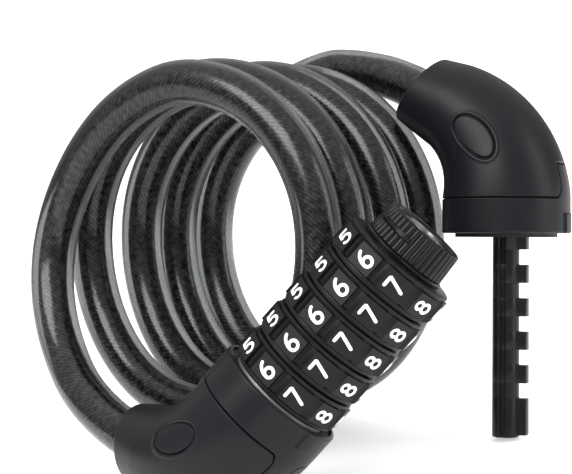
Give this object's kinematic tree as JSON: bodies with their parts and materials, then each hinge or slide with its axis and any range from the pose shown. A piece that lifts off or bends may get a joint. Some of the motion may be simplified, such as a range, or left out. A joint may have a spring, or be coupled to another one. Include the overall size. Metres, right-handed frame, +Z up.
{
  "type": "coiled cable combination lock",
  "caption": "Coiled steel cable lock: a bent housing with number dials and a reset knob, joined by a jacketed cable to a bent hood that carries a notched bolt.",
  "frame": {"origin": "middle of the lock's footprint, without the cable, on the surface it lies on", "axes": "+Z up; the dials and the badges face -Y; +X from the lock head towards the hood and its bolt"},
  "size_m": [0.1462, 0.1388, 0.1087],
  "materials": {
    "housing": "satin moulded",
    "badge": "satin",
    "dial": "satin with white numbers",
    "sleeve": "turned",
    "spacer": "smooth",
    "knob": "ribbed gloss",
    "bolt": "black coated",
    "liner": "smooth",
    "cast_zinc": "die cast",
    "steel": "plain",
    "cable": "clear smoked jacket over black wire rope"
  },
  "bodies": {
    "root": {"lock_shell": "housing", "lock_collar": "housing", "lock_badge": "badge", "lock_core": "cast_zinc", "lock_ferrule": "steel", "lock_pin": "steel", "spindle_tube": "steel", "spacer_rings": "spacer", "retaining_ring": "steel", "reset_spring": "steel", "spring_washer": "steel", "hood_shell": "housing", "hood_collar": "housing", "hood_badge": "badge", "hood_core": "cast_zinc", "hood_liner": "liner", "bolt": "bolt", "bolt_pin": "steel", "hood_ferrule": "steel", "hood_pin": "steel", "cable_lead": "cable", "cable_coil": "cable", "cable_tail": "cable"},
    "dial_1": {"wheel_1": "dial", "sleeve_1": "sleeve"},
    "dial_2": {"wheel_2": "dial", "sleeve_2": "sleeve"},
    "dial_3": {"wheel_3": "dial", "sleeve_3": "sleeve"},
    "dial_4": {"wheel_4": "dial", "sleeve_4": "sleeve"},
    "dial_5": {"wheel_5": "dial", "sleeve_5": "sleeve"},
    "knob": {"reset_knob": "knob"}
  },
  "joints": [
    {"name": "dial_1_turn", "type": "hinge", "parent": "root", "child": "dial_1", "pos_m": [-0.01551, -0.02569, 0.03194], "axis": [0.738, -0.0468, 0.6732], "continuous": true},
    {"name": "dial_2_turn", "type": "hinge", "parent": "root", "child": "dial_2", "pos_m": [-0.00909, -0.0261, 0.03779], "axis": [0.738, -0.0468, 0.6732], "continuous": true},
    {"name": "dial_3_turn", "type": "hinge", "parent": "root", "child": "dial_3", "pos_m": [-0.00267, -0.0265, 0.04365], "axis": [0.738, -0.0468, 0.6732], "continuous": true},
    {"name": "dial_4_turn", "type": "hinge", "parent": "root", "child": "dial_4", "pos_m": [0.00375, -0.02691, 0.04951], "axis": [0.738, -0.0468, 0.6732], "continuous": true},
    {"name": "dial_5_turn", "type": "hinge", "parent": "root", "child": "dial_5", "pos_m": [0.01017, -0.02732, 0.05536], "axis": [0.738, -0.0468, 0.6732], "continuous": true},
    {"name": "reset_turn", "type": "hinge", "parent": "root", "child": "knob", "pos_m": [0.01666, -0.02773, 0.06129], "axis": [0.738, -0.0468, 0.6732], "range_deg": [0, 90]}
  ]
}
